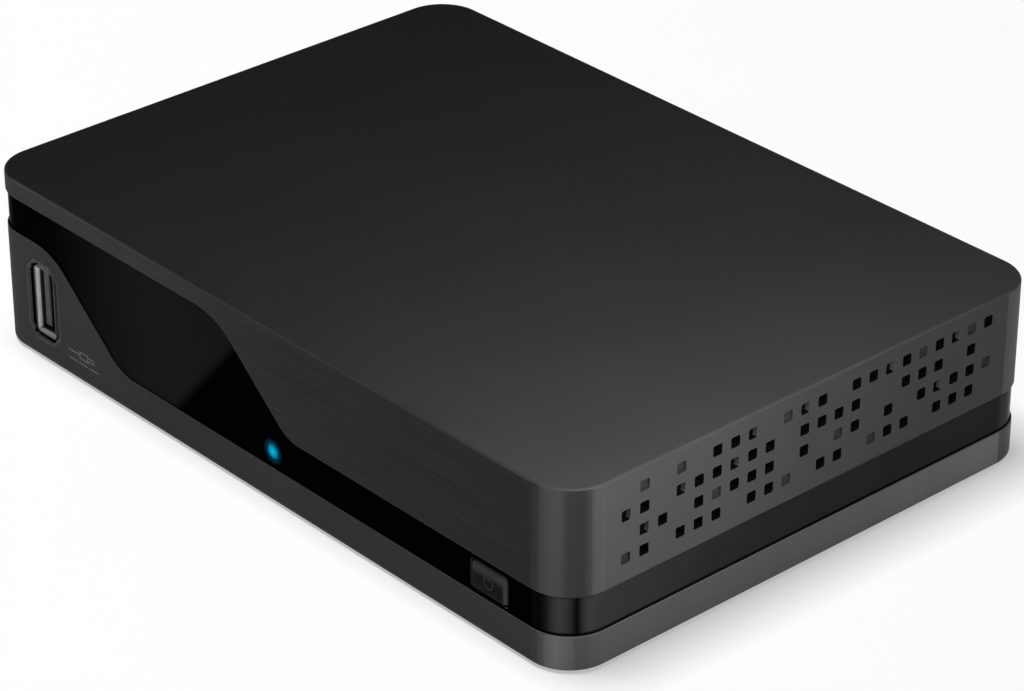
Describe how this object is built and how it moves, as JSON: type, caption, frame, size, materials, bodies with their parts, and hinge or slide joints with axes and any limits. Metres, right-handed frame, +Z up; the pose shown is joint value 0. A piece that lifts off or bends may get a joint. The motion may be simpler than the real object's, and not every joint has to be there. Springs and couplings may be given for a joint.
{
  "type": "tv decoder box",
  "caption": "Decoder box of stacked charcoal shells parted by a recessed gloss band that steps across the front, with a USB socket, round light, power button, square vents and rear sockets.",
  "frame": {"origin": "middle of the footprint, on the plane that the rubber feet stand on", "axes": "+X to the right seen from the front, +Y from the front to the sockets at the back, +Z up"},
  "size_m": [0.15, 0.106, 0.0333],
  "materials": {
    "shell_plastic": "satin charcoal with a fine grain",
    "band_gloss": "polished black",
    "panel_plastic": "fine spark-eroded black",
    "foot_rubber": "matt",
    "dark_steel": "blackened",
    "bright_steel": "plated",
    "socket_steel": "nickel plated",
    "tin_plate": "tinned sheet",
    "contact_gilt": "gilt",
    "socket_plastic": "moulded black",
    "white_plastic": "moulded natural",
    "button_gloss": "polished black",
    "blue_light": "clear, lit blue",
    "led_body": "moulded",
    "receiver_dark": "dark clear",
    "board_laminate": "green solder mask",
    "chip_epoxy": "moulded epoxy",
    "pad_silicone": "soft",
    "sink_aluminium": "black anodised",
    "ferrite": "sintered",
    "capacitor_sleeve": "shrunk sleeve",
    "jack_yellow": "moulded"
  },
  "bodies": {
    "case": {"top_cover": "shell_plastic", "bottom_case": "shell_plastic", "middle_band": "band_gloss", "rear_panel": "panel_plastic", "rubber_feet": "foot_rubber", "case_screws": "dark_steel", "main_board": "board_laminate", "board_screws": "bright_steel", "usb_board": "board_laminate", "board_link": "socket_plastic", "usb_shell": "socket_steel", "usb_tongue": "white_plastic", "usb_contacts": "contact_gilt", "power_switch": "socket_plastic", "light_pipe": "blue_light", "power_led": "led_body", "ir_receiver": "receiver_dark", "processor": "chip_epoxy", "thermal_pad": "pad_silicone", "heat_sink": "sink_aluminium", "heat_sink_pins": "white_plastic", "memory_chips": "chip_epoxy", "flash_chip": "chip_epoxy", "power_chips": "chip_epoxy", "inductors": "ferrite", "capacitors": "capacitor_sleeve", "crystal": "bright_steel", "tuner_can": "tin_plate", "aerial_socket": "socket_steel", "aerial_contact": "white_plastic", "ethernet_jack": "socket_plastic", "ethernet_shield": "tin_plate", "ethernet_contacts": "contact_gilt", "ethernet_transformer": "chip_epoxy", "hdmi_shell": "socket_steel", "hdmi_tongue": "socket_plastic", "av_jack": "jack_yellow", "dc_jack": "socket_plastic", "dc_pin": "bright_steel"},
    "button": {"power_button": "button_gloss"},
    "plunger": {"switch_plunger": "white_plastic"}
  },
  "joints": [
    {"name": "button_press", "type": "slide", "parent": "case", "child": "button", "axis": [0, 1, 0], "range_m": [0, 0.0005], "stiffness_N_per_m": 400, "springref_m": -0.003},
    {"name": "plunger_press", "type": "slide", "parent": "case", "child": "plunger", "axis": [0, 1, 0], "range_m": [0, 0.0005]}
  ],
  "couplings": [
    {"joint": "plunger_press", "follows": "button_press", "ratio": 1}
  ]
}
